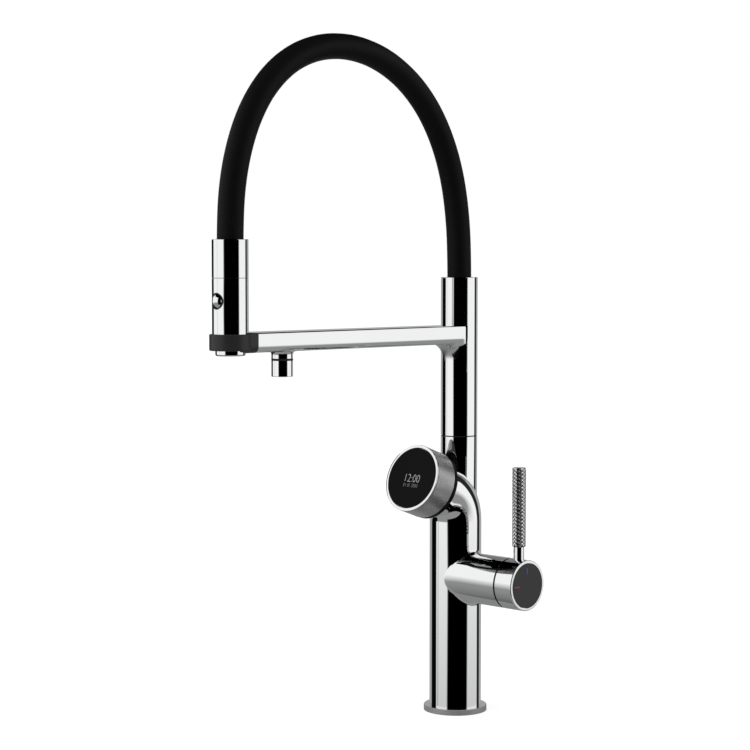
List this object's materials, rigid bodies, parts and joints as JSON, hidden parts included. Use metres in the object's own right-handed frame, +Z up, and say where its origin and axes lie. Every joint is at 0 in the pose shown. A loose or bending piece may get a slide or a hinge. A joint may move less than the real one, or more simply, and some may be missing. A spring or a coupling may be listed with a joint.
{
  "type": "kitchen mixer tap",
  "caption": "Deck-mounted kitchen mixer tap: swivelling column with docking arm, arched hose to a pull-off spray head, knurled dial with round display, side lever.",
  "frame": {"origin": "on the lower body's axis, on the worktop under the base flange", "axes": "+Z up; -Y to the front, where the arm and the dial point at rest; +X along the valve barrel to the lever"},
  "size_m": [0.114, 0.3074, 0.649],
  "materials": {
    "polished_chrome": "mirror-polished plating on brass",
    "satin_chrome": "fine satin plating on brass",
    "knurled_steel": "finely knurled, satin",
    "black_silicone": "matte silicone skin over a moulded-in support",
    "black_rubber": "soft, matte",
    "dark_satin_plastic": "satin",
    "dark_disc": "satin",
    "black_plastic": "matte",
    "moulded_plastic": "as moulded",
    "brass": "machined",
    "plain_steel": "zinc plated",
    "display_glass": "black-backed glass, polished",
    "circuit_board": "coated board",
    "blue_mark": "inlaid",
    "red_mark": "inlaid"
  },
  "bodies": {
    "base": {"main_body": "polished_chrome", "base_flange": "satin_chrome", "base_gasket": "black_rubber", "threaded_shank": "brass", "inlet_manifold": "brass", "manifold_seal": "black_rubber", "mixing_cartridge": "moulded_plastic", "cartridge_seals": "black_rubber", "cartridge_nut": "brass", "index_post": "brass", "index_disc": "dark_disc", "cold_mark": "blue_mark", "hot_mark": "red_mark", "swivel_spigot": "brass", "spigot_seals": "black_rubber", "spout_clip": "plain_steel", "thrust_ring": "black_rubber", "spigot_screw": "plain_steel", "display_housing": "black_plastic", "display_seal": "black_rubber", "display_board": "circuit_board", "press_switch": "moulded_plastic"},
    "clamp": {"rubber_washer": "black_rubber", "clamp_washer": "plain_steel", "mounting_nut": "brass"},
    "spout": {"spout_arm": "polished_chrome", "swivel_bushes": "moulded_plastic", "water_tube": "moulded_plastic", "hose_sleeve": "polished_chrome", "column_hose_tail": "brass", "nozzle_ring": "black_rubber", "nozzle_shell": "polished_chrome", "aerator": "moulded_plastic", "docking_collar": "dark_satin_plastic", "dock_magnet": "plain_steel", "collar_screw": "plain_steel", "hose": "black_silicone"},
    "hose_end": {"hose_ferrule": "polished_chrome", "spray_hose_tail": "brass"},
    "spray": {"spray_shell": "polished_chrome", "spray_core": "moulded_plastic", "button_seal": "black_rubber", "spray_tip": "polished_chrome", "spray_face": "black_rubber"},
    "button": {"spray_button": "polished_chrome"},
    "lever": {"valve_stem": "brass", "lever_cap": "polished_chrome", "lever_grub_screw": "plain_steel", "lever_neck": "polished_chrome", "lever_grip": "knurled_steel"},
    "dial": {"dial_bush": "moulded_plastic", "dial_ring": "knurled_steel", "dial_bezel": "polished_chrome"},
    "display": {"display_glass": "display_glass", "display_module": "moulded_plastic", "display_plunger": "moulded_plastic"}
  },
  "joints": [
    {"name": "clamp_travel", "type": "slide", "parent": "base", "child": "clamp", "axis": [0, 0, -1], "range_m": [-0.033, 0.045]},
    {"name": "spout_swivel", "type": "hinge", "parent": "base", "child": "spout", "pos_m": [0, 0.00425, 0.2446], "axis": [0, 0, 1], "continuous": true},
    {"name": "spray_lift", "type": "slide", "parent": "spout", "child": "hose_end", "axis": [0, 0, 1], "range_m": [0, 0.04], "deforming": ["hose"]},
    {"name": "spray_turn", "type": "hinge", "parent": "hose_end", "child": "spray", "pos_m": [0, -0.26255, 0.386], "axis": [0, 0, 1], "continuous": true},
    {"name": "button_press", "type": "slide", "parent": "spray", "child": "button", "axis": [0, 1, 0], "range_m": [0, 0.0016], "stiffness_N_per_m": 500, "springref_m": -0.002},
    {"name": "lever_turn", "type": "hinge", "parent": "base", "child": "lever", "pos_m": [0.0658, 0, 0.1205], "axis": [1, 0, 0], "range_deg": [0, 90]},
    {"name": "dial_turn", "type": "hinge", "parent": "base", "child": "dial", "pos_m": [0, -0.03402, 0.20358], "axis": [0, -0.9397, 0.342], "continuous": true},
    {"name": "display_press", "type": "slide", "parent": "base", "child": "display", "axis": [0, 0.9397, -0.342], "range_m": [0, 0.0008], "stiffness_N_per_m": 3000, "springref_m": -0.0006}
  ]
}
